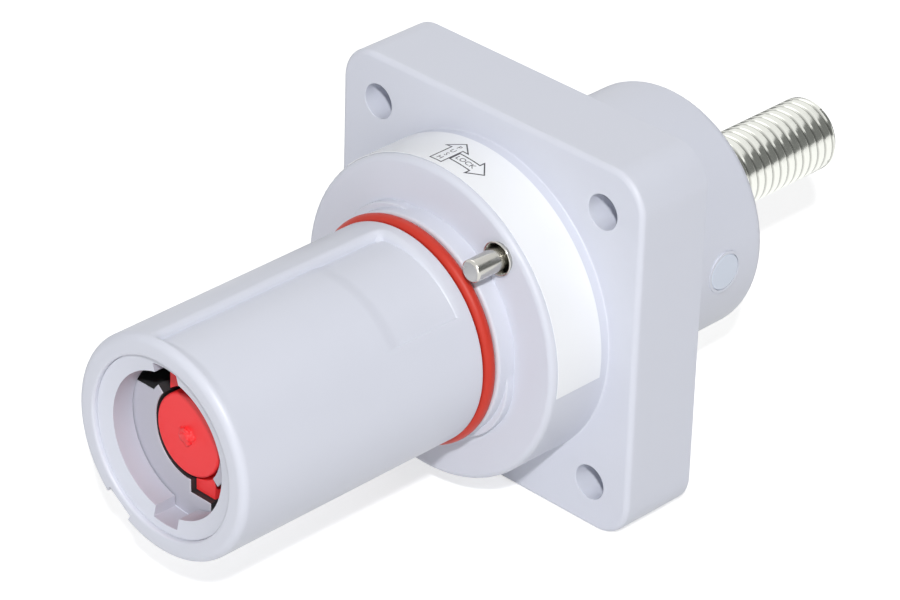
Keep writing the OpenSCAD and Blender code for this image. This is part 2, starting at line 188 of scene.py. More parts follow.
def floor_paint():
    paint = bpy.data.materials.new("white_floor")
    paint.use_nodes = True
    tree = paint.node_tree
    shader = tree.nodes["Principled BSDF"]
    shader.inputs["Base Color"].default_value = (FLOOR_TONE, FLOOR_TONE, FLOOR_TONE, 1)
    shader.inputs["Roughness"].default_value = 0.9
    shader.inputs["Specular IOR Level"].default_value = 0.1
    shader.inputs["Emission Color"].default_value = WHITE
    glow = tree.nodes.new("ShaderNodeMath")
    glow.operation = "MULTIPLY"
    glow.inputs[1].default_value = FLOOR_GLOW
    tree.links.new(seen_directly(tree), glow.inputs[0])
    tree.links.new(glow.outputs[0], shader.inputs["Emission Strength"])
    return paint


def screen_paint():
    paint = bpy.data.materials.new("dark_screen")
    paint.use_nodes = True
    shader = paint.node_tree.nodes["Principled BSDF"]
    shader.inputs["Base Color"].default_value = (0, 0, 0, 1)
    shader.inputs["Specular IOR Level"].default_value = 0.0
    shader.inputs["Emission Color"].default_value = SCREEN_TONE
    shader.inputs["Emission Strength"].default_value = 1.0
    return paint


def screen_mesh(distance, start, sweep, foot, head):
    """A bowed upright screen: one upright line, spun through part of a turn."""
    bm = bmesh.new()
    x, y = distance * cos(radians(start)), distance * sin(radians(start))
    ends = [bm.verts.new((x, y, z)) for z in (foot, head)]
    line = bm.edges.new(ends)
    bmesh.ops.spin(bm, geom=ends + [line], cent=(0, 0, 0), axis=(0, 0, 1), angle=radians(sweep), steps=24)
    return bm


bm = bmesh.new()
bmesh.ops.create_grid(bm, x_segments=1, y_segments=1, size=FLOOR_HALF, matrix=Matrix.Translation((0, 0, FLOOR_Z)))
stage_object("studio_floor", bm, floor_paint())
dark_paint = screen_paint()
for name, sizes in SCREENS.items():
    screen = stage_object(name, screen_mesh(*sizes), dark_paint)
    screen.visible_camera = screen.visible_diffuse = screen.visible_shadow = False
print("Floor at", round(FLOOR_Z / MM, 2), "mm, and", len(SCREENS), "screens")

# %% Set the lamps
KEY_WAY, KEY_DISTANCE = Vector((0.539, -0.560, 0.630)), 1.2
# Each lamp: place, width, watts and tint
LAMPS = {
    "key_softbox": (KEY_WAY * KEY_DISTANCE, 0.06, 9.9, (1.0, 1.0, 1.0)),
    "front_softbox": ((0.65, -0.90, 0.02), 0.8, 2.1, (1.0, 1.0, 1.0)),
    "overhead_softbox": ((-0.45, 0.20, 0.85), 0.8, 1.6, (1.0, 1.0, 0.98)),
    "rear_softbox": ((-0.55, 0.95, 0.10), 0.8, 4.5, (1.0, 1.0, 1.0)),
}


def area_lamp(name, place, size, watts, tint):
    data = bpy.data.lights.new(name, "AREA")
    data.shape = "DISK"
    data.size = size
    data.energy = watts
    data.color = tint
    lamp = bpy.data.objects.new(name, data)
    lamp.location = place
    lamp.rotation_euler = (-Vector(place)).to_track_quat("-Z", "Y").to_euler()
    scene.collection.objects.link(lamp)
    return lamp


for name, settings in LAMPS.items():
    lamp = area_lamp(name, *settings)
    lamp.visible_glossy = name != "rear_softbox"
scene.view_settings.view_transform = "Standard"
print("Lamps in watts:", {name: settings[2] for name, settings in LAMPS.items()})

# %% [markdown]
# ## Shared effects
#
# A moulded or turned surface is never one flat colour. Three effects come back in many finishes, so each is
# built once as a node group with named inputs: a slow drift of tone with a fine moulded grain, fine marks
# from handling, and the closely spaced rings that a lathe leaves. All of them read Object coordinates, so a
# pattern keeps its real size on every piece.

# %% Helpers for node trees


def group_tree(name, inputs, outputs):
    tree = bpy.data.node_groups.new(name, "ShaderNodeTree")
    for label, kind, value in inputs:
        socket = tree.interface.new_socket(label, in_out="INPUT", socket_type=kind)
        socket.default_value = value
    for label, kind in outputs:
        tree.interface.new_socket(label, in_out="OUTPUT", socket_type=kind)
    return tree, tree.nodes.new("NodeGroupInput").outputs, tree.nodes.new("NodeGroupOutput").inputs


def add_node(tree, kind, links=(), **settings):
    """A node with its inputs linked or set by name or number, and its own settings."""
    node = tree.nodes.new(kind)
    for key, value in settings.items():
        setattr(node, key, value)
    for key, value in dict(links).items():
        if isinstance(value, bpy.types.NodeSocket):
            tree.links.new(value, node.inputs[key])
        else:
            node.inputs[key].default_value = value
    return node


def cloud(tree, place, scale, detail, rough=0.5):
    return add_node(tree, "ShaderNodeTexNoise",
                    {"Vector": place, "Scale": scale, "Detail": detail, "Roughness": rough}).outputs["Fac"]


def spread(tree, value, low, high, new_low, new_high):
    return add_node(tree, "ShaderNodeMapRange",
                    {"Value": value, "From Min": low, "From Max": high,
                     "To Min": new_low, "To Max": new_high}).outputs["Result"]


def input_names(group):
    return [s.name for s in group.interface.items_tree if s.in_out == "INPUT"]


# %% The moulded skin


def make_moulded_skin():
    tree, given, result = group_tree(
        "moulded_skin",
        [("Colour", "NodeSocketColor", (0.7, 0.7, 0.7, 1)), ("Drift", "NodeSocketFloat", 0.03),
         ("Patch Scale", "NodeSocketFloat", 60.0), ("Grain Scale", "NodeSocketFloat", 2500.0)],
        [("Colour", "NodeSocketColor"), ("Mottle", "NodeSocketFloat"), ("Height", "NodeSocketFloat")])
    place = add_node(tree, "ShaderNodeTexCoord").outputs["Object"]
    slow = cloud(tree, place, given["Patch Scale"], 3.0)
    fine = cloud(tree, place, given["Grain Scale"], 2.0, 0.6)
    centred = add_node(tree, "ShaderNodeMath", {0: slow, 1: 0.5}, operation="SUBTRACT").outputs[0]
    swing = add_node(tree, "ShaderNodeMath", {0: centred, 1: given["Drift"]}, operation="MULTIPLY").outputs[0]
    value = add_node(tree, "ShaderNodeMath", {0: swing, 1: 1.0}, operation="ADD").outputs[0]
    tone = add_node(tree, "ShaderNodeHueSaturation", {"Color": given["Colour"], "Value": value})
    tree.links.new(tone.outputs["Color"], result["Colour"])
    tree.links.new(spread(tree, slow, 0.3, 0.7, 0.0, 1.0), result["Mottle"])
    tree.links.new(fine, result["Height"])
    return tree


moulded_skin = make_moulded_skin()
print(moulded_skin.name, "takes", input_names(moulded_skin))

# %% The handling marks


def make_handling_marks():
    tree, given, result = group_tree(
        "handling_marks",
        [("Scale", "NodeSocketFloat", 250.0), ("Amount", "NodeSocketFloat", 0.5),
         ("Stretch", "NodeSocketVector", (1.0, 0.12, 1.0))],
        [("Mask", "NodeSocketFloat")])
    place = add_node(tree, "ShaderNodeTexCoord").outputs["Object"]
    pulled = add_node(tree, "ShaderNodeVectorMath", {0: place, 1: given["Stretch"]}, operation="MULTIPLY").outputs[0]
    streaks = cloud(tree, pulled, given["Scale"], 5.0, 0.65)
    lines = spread(tree, streaks, 0.58, 0.72, 0.0, 1.0)
    scaled = add_node(tree, "ShaderNodeMath", {0: lines, 1: given["Amount"]}, operation="MULTIPLY").outputs[0]
    tree.links.new(scaled, result["Mask"])
    return tree


handling_marks = make_handling_marks()
print(handling_marks.name, "takes", input_names(handling_marks))

# %% The turned rings


def make_turned_rings():
    tree, given, result = group_tree(
        "turned_rings",
        [("Rings per Metre", "NodeSocketFloat", 2500.0), ("Waver", "NodeSocketFloat", 1.0)],
        [("Height", "NodeSocketFloat")])
    place = add_node(tree, "ShaderNodeTexCoord").outputs["Object"]
    rings = add_node(tree, "ShaderNodeTexWave",
                     {"Vector": place, "Scale": given["Rings per Metre"], "Distortion": given["Waver"],
                      "Detail": 2.0, "Detail Scale": 2.0}, wave_type="BANDS", bands_direction="Y")
    tree.links.new(rings.outputs["Fac"], result["Height"])
    return tree


turned_rings = make_turned_rings()
print(turned_rings.name, "takes", input_names(turned_rings))

# %% [markdown]
# ## The finishes
#
# Most of the part is a pale, cool grey moulding with a satin surface. Two recipes cover everything: one for
# moulded plastic, rubber and film, and one for metal. Both put the shared effects under a Principled shader
# and keep the numbers that are the same all over on the shader itself.

# %% Recipes for plastic and metal


def group_node(tree, group, links):
    node = add_node(tree, "ShaderNodeGroup", node_tree=group)
    for key, value in links.items():
        node.inputs[key].default_value = value
    return node.outputs


finishes = []


def blank_finish(name):
    finish = bpy.data.materials.new(name)
    finish.use_nodes = True
    finishes.append(finish.name)
    return finish, finish.node_tree, finish.node_tree.nodes["Principled BSDF"]


def bump(tree, height, strength, depth_mm):
    return add_node(tree, "ShaderNodeBump",
                    {"Height": height, "Strength": strength, "Distance": depth_mm * MM}).outputs["Normal"]


def plastic(name, colour, rough, drift=0.04, patch=60.0, grain=2500.0, grain_depth=0.004, gloss=0.5):
    """Moulded finish: toned colour, roughness between two values, and a fine grain in the normal."""
    finish, tree, shader = blank_finish(name)
    skin = group_node(tree, moulded_skin, {"Colour": (*colour, 1), "Drift": drift,
                                           "Patch Scale": patch, "Grain Scale": grain})
    marks = group_node(tree, handling_marks, {"Scale": 320.0, "Amount": 0.08})
    base = spread(tree, skin["Mottle"], 0.0, 1.0, rough[0], rough[1])
    worn = add_node(tree, "ShaderNodeMath", {0: base, 1: marks["Mask"]}, operation="ADD").outputs[0]
    tree.links.new(skin["Colour"], shader.inputs["Base Color"])
    tree.links.new(worn, shader.inputs["Roughness"])
    tree.links.new(bump(tree, skin["Height"], 0.25, grain_depth), shader.inputs["Normal"])
    shader.inputs["Specular IOR Level"].default_value = gloss
    return finish


def metal(name, colour, rough, rings=1400.0, ring_depth=0.002, marks_amount=0.15, painted_groove_shade=0.0):
    """Turned or drawn metal: a faint tone drift, lathe rings, fine marks and, on a thread, grooves darkened with
    painted shade.
    """
    finish, tree, shader = blank_finish(name)
    skin = group_node(tree, moulded_skin, {"Colour": (*colour, 1), "Drift": 0.06,
                                           "Patch Scale": 220.0, "Grain Scale": 5000.0})
    marks = group_node(tree, handling_marks, {"Scale": 700.0, "Amount": marks_amount, "Stretch": (1.0, 0.25, 1.0)})
    lathe = group_node(tree, turned_rings, {"Rings per Metre": rings, "Waver": 0.6})
    base = spread(tree, skin["Mottle"], 0.0, 1.0, rough[0], rough[1])
    worn = add_node(tree, "ShaderNodeMath", {0: base, 1: marks["Mask"]}, operation="ADD").outputs[0]
    sunk = add_node(tree, "ShaderNodeAttribute", attribute_name="sunk").outputs["Fac"]
    # Darker where the thread is sunk: painted shade in the grooves.
    value = spread(tree, sunk, 0.0, 0.8, 1.0, 1.0 - painted_groove_shade)
    tone = add_node(tree, "ShaderNodeHueSaturation", {"Color": skin["Colour"], "Value": value})
    tree.links.new(tone.outputs["Color"], shader.inputs["Base Color"])
    tree.links.new(worn, shader.inputs["Roughness"])
    tree.links.new(bump(tree, lathe["Height"], 0.2, ring_depth), shader.inputs["Normal"])
    shader.inputs["Metallic"].default_value = 1.0
    return finish


# %% Mix the finishes
housing_plastic = plastic("housing_satin", (0.675, 0.695, 0.775), (0.36, 0.46))
# Darker than the moulding: painted shade for the shade inside the mouth.
mouth_plastic_painted_shade = plastic("mouth_plastic_painted_shade", (0.51, 0.51, 0.58), (0.45, 0.55))
guard_plastic = plastic("guard_red", (0.92, 0.040, 0.045), (0.38, 0.48), gloss=0.35)
seal_rubber = plastic("seal_rubber", (0.55, 0.033, 0.017), (0.40, 0.50), grain=3500.0, gloss=0.35)
# Black rubber for the inner seal, and the black of the painted shade in the mouth's openings and chamber.
dark_rubber_and_painted_shade = plastic("dark_rubber_and_painted_shade", (0.03, 0.03, 0.032), (0.5, 0.65))
plug_plastic = plastic("plug_pale", (0.68, 0.735, 0.84), (0.30, 0.40))
label_film = plastic("label_white", (0.91, 0.925, 0.955), (0.30, 0.36), drift=0.015, grain=1200.0,
                     grain_depth=0.001)
print_ink = plastic("print_ink", (0.035, 0.035, 0.045), (0.45, 0.55), drift=0.3, patch=900.0)
plated_silver = metal("plated_silver", (0.90, 0.90, 0.86), (0.12, 0.20), marks_amount=0.08)
# The thread's grooves are darkened by 0.4: painted shade.
thread_silver = metal("thread_silver", (0.83, 0.84, 0.785), (0.12, 0.20), marks_amount=0.08, painted_groove_shade=0.4)
bright_nickel = metal("bright_nickel", (0.56, 0.55, 0.515), (0.14, 0.22))
spring_wire = metal("spring_wire", (0.55, 0.55, 0.56), (0.25, 0.35))
spring_bronze = metal("band_bronze", (0.78, 0.56, 0.26), (0.22, 0.32))
dark_steel = metal("dark_steel", (0.16, 0.16, 0.165), (0.35, 0.5))
print("Finishes:", finishes)

# %% [markdown]
# ## Tools for shaping pieces
#
# A CAD mesh arrives as loose triangles. A copy of it is merged, and flat runs of triangles are joined into
# whole faces, so that a bevel can give each sharp edge the small radius that a mould or a lathe leaves. New
# round pieces start from a few points of a half section, spun around the axis. Every finished bmesh becomes
# a piece that rides on a body.

# %% Helpers for shaping and settling


def reach(node):
    """Lowest and highest X, Y and Z of a CAD node at rest, in mm."""
    low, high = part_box(node)
    return [(a / MM, b / MM) for a, b in zip(low, high)]


def cad_copy(node):
    bm = bmesh.new()
    bm.from_mesh(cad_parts[node].data)
    bmesh.ops.remove_doubles(bm, verts=bm.verts, dist=0.001 * MM)
    bmesh.ops.dissolve_limit(bm, angle_limit=radians(0.5), verts=bm.verts, edges=bm.edges)
    return bm


def turned(section, centre=(0, 0), steps=96):
    """Spins a half section, given in mm as (radius, distance forward of the panel), around a line along Y."""
    bm = bmesh.new()
    points = [bm.verts.new(((centre[0] + r) * MM, -z * MM, centre[1] * MM)) for r, z in section]
    lines = [bm.edges.new(pair) for pair in zip(points, points[1:])]
    bmesh.ops.spin(bm, geom=points + lines, cent=(centre[0] * MM, 0, centre[1] * MM), axis=(0, 1, 0),
                   angle=2 * pi, steps=steps, use_merge=True)
    bmesh.ops.remove_doubles(bm, verts=bm.verts, dist=0.0005 * MM)
    bmesh.ops.recalc_face_normals(bm, faces=bm.faces)
    return bm


def cut_off(bm, level, way):
    """Cuts a shape square to the axis, in mm forward of the panel, drops one side and closes the cut."""
    cut = bmesh.ops.bisect_plane(bm, geom=bm.verts[:] + bm.edges[:] + bm.faces[:], dist=0.001 * MM,
                                 plane_co=(0, -level * MM, 0), plane_no=(0, way, 0), clear_outer=True)
    rim = [e for e in cut["geom_cut"] if isinstance(e, bmesh.types.BMEdge)]
    bmesh.ops.edgeloop_fill(bm, edges=rim)


def soften(bm, width, segments=2, least=35, where=lambda p: True):
    """Bevels the edges that turn by more than a least angle, where a test on their middle, in mm, allows it."""
    edges = [e for e in bm.edges if len(e.link_faces) == 2 and e.calc_face_angle() > radians(least)
             and where((e.verts[0].co + e.verts[1].co) / (2 * MM))]
    bmesh.ops.bevel(bm, geom=edges, offset=width * MM, offset_type="OFFSET", affect="EDGES", segments=segments,
                    profile=0.5, material=-1, clamp_overlap=True)
    return len(edges)


def settle(bm, name, finish, body="connector", node=None, crease=40):
    """Turns a bmesh into a smooth shaded piece that rides on a body and may stand for a CAD node."""
    for face in bm.faces:
        face.smooth = True
    for edge in bm.edges:
        edge.smooth = len(edge.link_faces) == 2 and edge.calc_face_angle() < radians(crease)
    mesh = bpy.data.meshes.new(name)
    bm.to_mesh(mesh)
    bm.free()
    mesh.materials.append(finish)
    piece = bpy.data.objects.new(name, mesh)
    scene.collection.objects.link(piece)
    even = piece.modifiers.new("even_faces", "WEIGHTED_NORMAL")
    even.keep_sharp = True
    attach(piece, body)
    if node:
        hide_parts(node)
    print(name, "has", len(mesh.polygons), "faces and rides on", body)
    return piece


# %% [markdown]
# ## The housing
#
# Flange, collar, sleeve and hub are one moulding. Its CAD shape is right, so most of it is not modelled again:
# the copy only gets the small radii of its edges. One bevel over all edges would shrink to suit the shortest
# of them, so each group of edges is found by its place and gets a bevel of its own. The outside of the mating
# sleeve is taken off, because the next step makes it anew. The floor inside the mouth gets a duller finish whose
# colour is darker than the moulding's, painted shade for the shade that falls in the mouth, so its faces become a
# piece of their own.

# %% Find the housing's edges
FLANGE_FRONT, COLLAR_R, HUB_R = 13.5, 25.0, 19.65
LOBE_FRONT, LOBE_INNER_R = 26.6, 17.7
HOLE_PLACE, HOLE_R = 22.5, 2.75
SLEEVE_FRONT = -cad_box[0][1] / MM
MOUTH_R, FLOOR_FRONT, FLOOR_BACK = 13.75, 71.8, 66.0
FLOOR_HOLES_R, FLOOR_BEVEL = MOUTH_R - 1.1, 0.12
GROOVE_R, GROOVE_FRONT = 15.7, 30.9


def off_axis(p):
    return hypot(p.x, p.z)


def near(value, aim, slack=0.06):
    return abs(value - aim) < slack


def at_screw_hole(p):
    return near(hypot(abs(p.x) - HOLE_PLACE, abs(p.z) - HOLE_PLACE), HOLE_R, 0.1)


def keep_faces(bm, test):
    """Deletes the faces whose middle and corners, in mm, fail a test."""
    gone = [f for f in bm.faces if not test(f.calc_center_median() / MM, [v.co / MM for v in f.verts])]
    bmesh.ops.delete(bm, geom=gone, context="FACES")
    return len(gone)


# Each group of edges: the width of its bevel in mm, its segments and where its edges lie
HOUSING_EDGES = {
    "screw holes": (0.25, 3, lambda p: at_screw_hole(p) and (near(p.y, -FLANGE_FRONT) or near(p.y, 0))),
    "collar foot": (0.35, 3, lambda p: near(p.y, -FLANGE_FRONT) and near(off_axis(p), COLLAR_R, 0.1)),
    "lobes": (0.3, 3, lambda p: near(p.y, -LOBE_FRONT) and off_axis(p) > LOBE_INNER_R),
    "hub foot": (0.3, 3, lambda p: near(p.y, 0) and near(off_axis(p), HUB_R, 0.1)),
    "floor": (FLOOR_BEVEL, 2, lambda p: near(p.y, -FLOOR_FRONT) and off_axis(p) < FLOOR_HOLES_R),
}
print("Groups of edges:", list(HOUSING_EDGES))

# %% Soften the housing


def off_the_sleeve(middle, corners):
    return -middle.y < GROOVE_FRONT - 0.02 or min(off_axis(c) for c in corners) < MOUTH_R - 0.1


def in_mouth(middle, corners):
    above_floor = -middle.y - FLOOR_FRONT
    return -FLOOR_BEVEL - 0.01 < above_floor < 0.05 and off_axis(middle) < MOUTH_R - 0.05


def rest_of_housing(middle, corners):
    return off_the_sleeve(middle, corners) and not in_mouth(middle, corners)


bm = cad_copy("housing")
for place, (width, segments, test) in HOUSING_EDGES.items():
    print("Softened", soften(bm, width, segments, where=test), "edges at the", place)
floor_bm = bm.copy()
keep_faces(floor_bm, in_mouth)
# The mouth floor's darker colour is painted shade.
settle(floor_bm, "mouth_floor", mouth_plastic_painted_shade, node="housing")
print("Took off", keep_faces(bm, rest_of_housing), "faces of the sleeve and the floor")
settle(bm, "housing_moulding", housing_plastic, node="housing")

# %% [markdown]
# ## The sleeve
#
# The long recess on the sleeve codes the connector. Its tool was polished, so the step into it has a rounded
# edge, is deep on one side and fades to nothing on the other, and the recess runs out just before the rim. A
# bevel cannot follow a step that fades, so the sleeve is spun anew from its half section, from the seal groove
# over the rim into the mouth. Then every point sinks by the depth of the recess at its place. The keyway on the
# far side stays a plain square cut.

# %% Spin the sleeve
SLEEVE_R, GROOVE_EDGE, RIM_EDGE, MOUTH_EDGE, RING_BACK = 17.0, 0.15, 1.3, 0.45, 72.0
RIM_LINES = (15.3, 14.8)
RECESS_BACK, WALL_ROUND = 32.2, 1.3
# Levels along the sleeve as first, last and steps, close together where the recess has a wall
SLEEVE_LEVELS = [(GROOVE_FRONT + 0.3, RECESS_BACK, 4), (RECESS_BACK + 0.1, RECESS_BACK + WALL_ROUND + 0.1, 18),
                 (34.4, 44.0, 8), (44.5, 47.1, 13), (50, SLEEVE_FRONT - 4.2, 10),
                 (SLEEVE_FRONT - 4.0, SLEEVE_FRONT - 1.4, 10)]


def evenly(low, high, count):
    return [low + (high - low) * i / count for i in range(count + 1)]


def arc(r, z, radius, start, end, count):
    """Points of an arc in the half section, with its angles in degrees."""
    return [(r + radius * cos(radians(t)), z + radius * sin(radians(t))) for t in evenly(start, end, count)]


def sleeve_section():
    return ([(GROOVE_R - 0.05, GROOVE_FRONT)]
            + arc(SLEEVE_R - GROOVE_EDGE, GROOVE_FRONT + GROOVE_EDGE, GROOVE_EDGE, -90, 0, 3)
            + [(SLEEVE_R, z) for run in SLEEVE_LEVELS for z in evenly(*run)]
            + arc(SLEEVE_R - RIM_EDGE, SLEEVE_FRONT - RIM_EDGE, RIM_EDGE, 0, 90, 9)
            + [(r, SLEEVE_FRONT) for r in RIM_LINES]
            + arc(MOUTH_R + MOUTH_EDGE, SLEEVE_FRONT - MOUTH_EDGE, MOUTH_EDGE, 90, 180, 5)
            + [(MOUTH_R, RING_BACK)])


bm = turned(sleeve_section(), steps=360)
print("Sleeve spun with", len(bm.faces), "faces")

# %% Sink the recess
RECESS_REAR_END, RECESS_CORNER = 45.8, 2.3
RECESS_LEFT, RECESS_RIGHT = 100.7, 34.3
RECESS_DEPTH, REAR_EXTRA, RIM_FACE_W = 1.2, 0.22, 1.4
SIDE_SOFT, REAR_SOFT, RIM_FADE, RIM_SOFT = 0.12, 1.3, 1.6, 0.9
WALL_SPAN, WALL_LINES, SIDE_LINE = 4.6, 23, 0.4


def ease(value, half):
    """0 below -half, 1 above half and a soft S between."""
    share = min(max((value + half) / (2 * half), 0), 1)
    return share * share * (3 - 2 * share)


def rounded_step(inside):
    """Share of the depth at a distance inside the recess: a rounded top edge that ends in a steep foot."""
    share = min(max(inside / WALL_ROUND, 0), 1)
    return 1 - (1 - share * share) ** 0.5


def recess_sink(turn, z):
    """Depth of the recess at an angle in degrees and a level forward of the panel."""
    left, right = [(angle * radians(SLEEVE_R)) for angle in (RECESS_LEFT - turn, turn - RECESS_RIGHT)]
    rear = z - RECESS_BACK
    inside = min(left, rear)
    if max(left, rear) < RECESS_CORNER:
        inside = RECESS_CORNER - hypot(RECESS_CORNER - left, RECESS_CORNER - rear)
    rise = 1 - cos(radians(max(turn - RECESS_RIGHT, 0)))
    floor = RECESS_DEPTH * rise / (1 - cos(radians(RECESS_LEFT - RECESS_RIGHT)))
    rear_part = REAR_EXTRA * ease(right, SIDE_SOFT) * ease(RECESS_REAR_END - z, REAR_SOFT)
    front_part = floor * (1 - ease(z - SLEEVE_FRONT + RIM_FADE, RIM_SOFT))
    return (front_part + rear_part) * rounded_step(inside)


def split_at(bm, turns):
    """Adds lines along the sleeve at given angles in degrees, so that a steep wall has points enough."""
    for turn in turns:
        way = Vector((cos(radians(turn)), 0, sin(radians(turn))))
        faces = [f for f in bm.faces if f.calc_center_median().dot(way) > 0.999 * off_axis(f.calc_center_median())]
        verts, edges = {v for f in faces for v in f.verts}, {e for f in faces for e in f.edges}
        bmesh.ops.bisect_plane(bm, geom=[*verts, *edges, *faces], dist=1e-8, plane_co=(0, 0, 0),
                               plane_no=(-way.z, 0, way.x))


def sink_recess(bm):
    for vert in bm.verts:
        radius, z = off_axis(vert.co) / MM, -vert.co.y / MM
        turn = degrees(atan2(vert.co.z, vert.co.x))
        if z > GROOVE_FRONT + 0.1 and RECESS_RIGHT - 2 < turn < RECESS_LEFT:
            share = min(max((radius - MOUTH_R - MOUTH_EDGE) / RIM_FACE_W, 0), 1)
            vert.co *= Vector((1, 0, 1)) * (1 - share * recess_sink(turn, z) / radius) + Vector((0, 1, 0))


split_at(bm, evenly(RECESS_LEFT - WALL_SPAN, RECESS_LEFT, WALL_LINES)
         + [RECESS_RIGHT - SIDE_LINE, RECESS_RIGHT + SIDE_LINE])
sink_recess(bm)
print("Recess sunk in", len(bm.faces), "faces")

# %% Cut the keyway
KEYWAY_ANGLE, KEYWAY_W, KEYWAY_FLOOR, KEYWAY_BACK = radians(236), 5.2, 15.0, 33.0


def cut_keyway(bm):
    """Splits the sleeve beside both walls of the keyway and lays the points between them on its floor."""
    out = Vector((cos(KEYWAY_ANGLE), 0, sin(KEYWAY_ANGLE)))
    side = Vector((-out.z, 0, out.x))
    for offset in (-KEYWAY_W / 2, 0.01 - KEYWAY_W / 2, KEYWAY_W / 2 - 0.01, KEYWAY_W / 2):
        faces = [f for f in bm.faces if f.calc_center_median().dot(out) > 0]
        verts, edges = {v for f in faces for v in f.verts}, {e for f in faces for e in f.edges}
        bmesh.ops.bisect_plane(bm, geom=[*verts, *edges, *faces], dist=1e-8, plane_co=side * offset * MM,
                               plane_no=side)
    for vert in bm.verts:
        high = vert.co.dot(out) / MM - KEYWAY_FLOOR
        if high > 0 and abs(vert.co.dot(side)) < (KEYWAY_W / 2 - 0.005) * MM and -vert.co.y / MM > KEYWAY_BACK:
            vert.co -= out * high * MM


cut_keyway(bm)
bmesh.ops.remove_doubles(bm, verts=bm.verts, dist=0.0005 * MM)
settle(bm, "mating_sleeve", housing_plastic, node="housing")

# %% [markdown]
# ## Painted shade behind the floor
#
# The openings in the mouth's floor are black with the shade of the deep chamber behind them, and that shade is
# painted: a black sheet on their walls, copied from the CAD, laid a little inside and given a thickness. A
# turned black cup, painted shade as well, lines the chamber behind.

# %% Paint shade into the openings
SHADE_SHEET_T, SHADE_SHEET_BACK, OPENING_R = 0.05, 0.2, 12.3
CHAMBER_R, CONTACT_FRONT, SOCKET_R = 11.55, 59.0, 8.0


def opening_wall(middle, corners):
    return (off_axis(middle) < OPENING_R and FLOOR_BACK - 0.1 < -middle.y < FLOOR_FRONT + 0.1
            and max(c.y for c in corners) - min(c.y for c in corners) > 1)


bm = cad_copy("housing")
keep_faces(bm, opening_wall)
for vert in bm.verts:
    vert.co.y = max(vert.co.y, (SHADE_SHEET_BACK - FLOOR_FRONT) * MM)
bmesh.ops.solidify(bm, geom=bm.faces[:], thickness=-SHADE_SHEET_T * MM)
bmesh.ops.recalc_face_normals(bm, faces=bm.faces)
# A thin black sheet on the openings' walls: painted shade.
settle(bm, "opening_painted_shade", dark_rubber_and_painted_shade, crease=30)

# %% Paint shade into the chamber
CUP_T, CUP_GAP = 0.3, 0.02
CUP_R, CUP_HOLE_R = CHAMBER_R - CUP_GAP, SOCKET_R + CUP_T
CUP_FOOT, CUP_HEAD = CONTACT_FRONT + CUP_GAP, FLOOR_BACK - CUP_GAP
# A black cup lining the chamber: painted shade.
bm = turned([(CUP_R, CUP_HEAD), (CUP_R, CUP_FOOT), (CUP_HOLE_R, CUP_FOOT), (CUP_HOLE_R, CONTACT_FRONT + CUP_T),
             (CUP_R - CUP_T, CONTACT_FRONT + CUP_T), (CUP_R - CUP_T, CUP_HEAD), (CUP_R, CUP_HEAD)])
settle(bm, "chamber_painted_shade", dark_rubber_and_painted_shade)

# %% [markdown]
# ## The ring and the guard
#
# The ring in the mouth carries the two entry notches for the other half. Its front face matches the sleeve, and
# the wall of its bore gets the floor's darker colour, painted shade for the shade in the mouth, so the two become
# pieces with a finish each. The red guard behind it keeps fingers off the contact. In its middle stands the torn
# stub where the moulding was cut
# from its runner: a squat lump that a smooth random field makes uneven.

# %% Soften the ring
RING_INNER_R, BORE_LEAST = MOUTH_R - 0.3, 1.2
ring_front = reach("bayonet_ring")[1][0]


def at_ring_front(p):
    return p.y < ring_front + BORE_LEAST and off_axis(p) < RING_INNER_R


def bore_wall(middle, corners):
    return off_axis(middle) < RING_INNER_R and max(c.y for c in corners) - min(c.y for c in corners) > BORE_LEAST


bm = cad_copy("bayonet_ring")
print("Ring edges softened:", soften(bm, 0.3, 3, where=at_ring_front))
bore_bm = bm.copy()
keep_faces(bore_bm, bore_wall)
# The ring's bore wall takes the same darker colour: painted shade.
settle(bore_bm, "bayonet_ring_bore", mouth_plastic_painted_shade, node="bayonet_ring")
keep_faces(bm, lambda middle, corners: not bore_wall(middle, corners))
settle(bm, "bayonet_ring_moulding", housing_plastic, node="bayonet_ring")

# %% Soften the guard
bm = cad_copy("guard_tip")
print("Guard edges softened:", soften(bm, 0.12))
settle(bm, "guard_moulding", guard_plastic, node="guard_tip")

# %% Make the torn stub
STUB_R, STUB_FLAT, STUB_UNEVEN = 1.25, 0.62, 0.5
STUB_LUMPS, STUB_DRAW = 1.3, Vector((4, 1, 7))


def torn_stub(front):
    bm = bmesh.new()
    bmesh.ops.create_icosphere(bm, subdivisions=4, radius=STUB_R)
    for vert in bm.verts:
        vert.co *= 1 + STUB_UNEVEN * noise.noise(vert.co * STUB_LUMPS + STUB_DRAW)
    bmesh.ops.scale(bm, vec=(MM, MM * STUB_FLAT, MM), verts=bm.verts)
    lift = min(v.co.y for v in bm.verts)
    bmesh.ops.translate(bm, vec=(0, front * MM - lift, 0), verts=bm.verts)
    return bm


guard_low = reach("guard_tip")[1][0]
settle(torn_stub(guard_low - 0.1), "guard_stub", guard_plastic, crease=70)

# %% [markdown]
# ## The contact and its threaded stud
#
# The contact is turned from one bar and plated. Its stud carries a coarse M12 thread, which the picture shows
# with wide bright crests, narrow dull grooves and an almost straight outline. A thread can be painted as a
# bump, but its outline and its reflections need real ridges, so these are real, though shallow. One section of
# ridges is spun through a full turn while it rises by one pitch, so its last line meets its first, one ridge
# further on. Planes then cut both ends, and the ridges near the tip are lowered to the chamfer. Each point
# keeps how far it has sunk as an attribute, from which the finish darkens the grooves with painted shade. The
# plain stud of the CAD copy is cut off, and the threaded one takes its place.

# %% Turn the contact
SHOULDER_REAR = -25.5
bm = cad_copy("contact")
cut_off(bm, SHOULDER_REAR - 0.1, 1)
print("Contact edges softened:", soften(bm, 0.3, segments=3))
settle(bm, "contact_body", plated_silver, node="contact")

